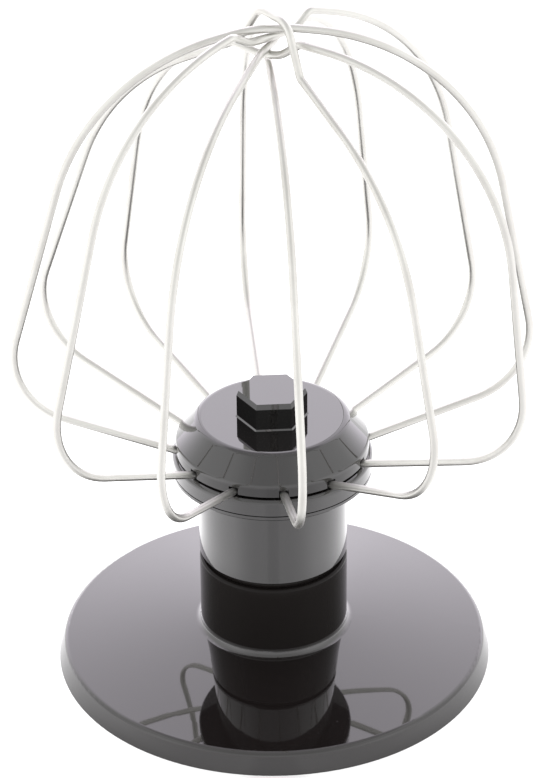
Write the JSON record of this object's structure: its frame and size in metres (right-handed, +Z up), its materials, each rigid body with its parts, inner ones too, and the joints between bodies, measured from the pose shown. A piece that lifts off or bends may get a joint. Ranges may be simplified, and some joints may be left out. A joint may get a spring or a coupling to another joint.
{
  "type": "stand mixer wire whisk",
  "caption": "Balloon whisk for a stand mixer: bent wire loops clamped in a black hub on a stepped column with a flared splash disc at the drive end.",
  "frame": {"origin": "centre of the drive socket's mouth, on the shaft's axis and level with the rim that the whisk stands on", "axes": "+Z runs up the shaft from the drive end to the wires' crown, and -Y is the side that faces the viewer"},
  "size_m": [0.1132, 0.1122, 0.1584],
  "materials": {
    "black_plastic": "polished black",
    "screw_plastic": "polished black",
    "core_plastic": "moulded dark grey",
    "steel_wire": "polished stainless wire"
  },
  "bodies": {
    "root": {"splash_disc": "black_plastic", "collar": "black_plastic", "stem_sleeve": "black_plastic", "hub_base": "black_plastic", "hub_cap": "black_plastic", "hex_screw": "screw_plastic", "drive_shaft": "core_plastic", "wire_loop_1": "steel_wire", "wire_loop_2": "steel_wire", "wire_loop_3": "steel_wire", "wire_loop_4": "steel_wire", "wire_loop_5": "steel_wire", "wire_loop_6": "steel_wire"}
  },
  "joints": []
}
